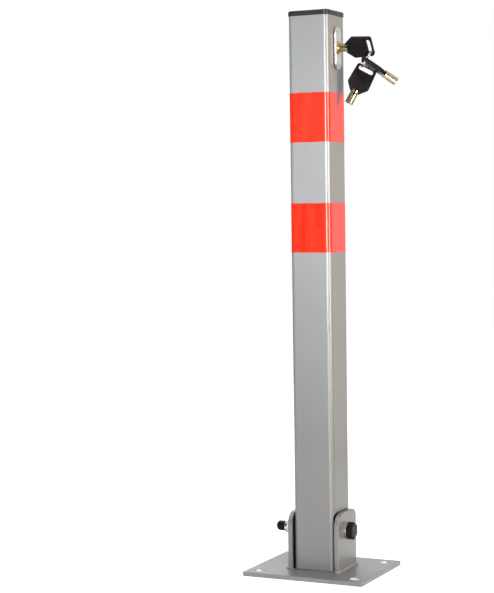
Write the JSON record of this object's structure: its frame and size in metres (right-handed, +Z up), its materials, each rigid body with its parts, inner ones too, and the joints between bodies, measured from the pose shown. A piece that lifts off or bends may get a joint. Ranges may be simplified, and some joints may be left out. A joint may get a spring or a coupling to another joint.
{
  "type": "fold-down bollard",
  "caption": "Square steel parking post with red bands that folds back on a pivot bolt once a tubular key in its side lifts the locking rod; key in the lock, spare keys on a ring.",
  "frame": {"origin": "middle of the base plate's underside, at ground level", "axes": "+Z up the post, -Y towards the front face in the picture, +X towards the lock, the keys and the pivot bolt's head"},
  "size_m": [0.1747, 0.125, 0.654],
  "materials": {
    "coated_steel": "glossy silver-grey powder coat",
    "zinc_steel": "bright zinc plate",
    "spring_steel": "oiled spring steel",
    "natural_nylon": "natural nylon",
    "black_cap": "moulded, fine grain",
    "red_reflector": "glossy reflective film",
    "chromed_zinc": "satin chrome on die-cast zinc",
    "rivet_aluminium": "plain",
    "lock_brass": "turned and polished",
    "key_metal": "nickel-plated, worn",
    "key_plastic": "moulded, fine grain",
    "ring_nickel": "nickel-plated spring wire"
  },
  "bodies": {
    "base": {"base_plate": "coated_steel", "right_ear": "coated_steel", "left_ear": "coated_steel", "right_ear_weld": "coated_steel", "left_ear_weld": "coated_steel", "pivot_bolt": "zinc_steel", "pivot_washers": "zinc_steel", "spacer_washers": "natural_nylon", "lock_nut": "zinc_steel", "lock_nut_insert": "natural_nylon", "bolt_head_cap": "black_cap", "thread_end_cap": "black_cap"},
    "post": {"post_tube": "coated_steel", "post_cap": "black_cap", "upper_band": "red_reflector", "lower_band": "red_reflector", "escutcheon": "chromed_zinc", "escutcheon_rivets": "rivet_aluminium", "lock_barrel": "lock_brass", "barrel_nut": "zinc_steel", "upper_rod_guide": "zinc_steel", "lower_rod_guide": "zinc_steel", "lift_spring": "spring_steel"},
    "lock_core": {"lock_plug": "lock_brass", "lock_pins": "lock_brass", "crank": "zinc_steel", "crank_pin": "zinc_steel", "crank_screw": "zinc_steel"},
    "rod": {"rod_head": "zinc_steel", "lifting_rod": "zinc_steel", "spring_collar": "zinc_steel", "rod_cross_pins": "zinc_steel"},
    "key": {"key_shaft": "key_metal", "key_bow": "key_plastic"},
    "ring": {"key_ring": "ring_nickel"},
    "first_spare_key": {"first_spare_shaft": "key_metal", "first_spare_bow": "key_plastic"},
    "second_spare_key": {"second_spare_shaft": "key_metal", "second_spare_bow": "key_plastic"}
  },
  "joints": [
    {"name": "post_fold", "type": "hinge", "parent": "base", "child": "post", "pos_m": [0, 0, 0.05], "axis": [-1, 0, 0], "range_deg": [0, 92.2]},
    {"name": "lock_turn", "type": "hinge", "parent": "post", "child": "lock_core", "pos_m": [0, 0, 0.611], "axis": [-1, 0, 0], "range_deg": [-90, 0]},
    {"name": "rod_lift", "type": "slide", "parent": "post", "child": "rod", "axis": [0, 0, 1], "range_m": [-0.0142, 0], "deforming": ["lift_spring"]},
    {"name": "key_withdraw", "type": "slide", "parent": "lock_core", "child": "key", "axis": [1, 0, 0], "range_m": [0, 0.012]},
    {"name": "ring_swing", "type": "hinge", "parent": "key", "child": "ring", "pos_m": [0.0668, 0.00379, 0.60559], "axis": [0, 0.8192, 0.5736], "range_deg": [-15, 8]},
    {"name": "first_spare_swing", "type": "hinge", "parent": "ring", "child": "first_spare_key", "pos_m": [0.05396, 0.00579, 0.58832], "axis": [-0.4545, 0.8899, -0.0381], "range_deg": [-20, 10]},
    {"name": "second_spare_swing", "type": "hinge", "parent": "ring", "child": "second_spare_key", "pos_m": [0.06123, -0.00166, 0.59367], "axis": [-0.6209, 0.2124, -0.7546], "range_deg": [0, 40]}
  ],
  "couplings": [
    {"joint": "rod_lift", "follows": "lock_turn", "m_per_rad": 0.009}
  ]
}
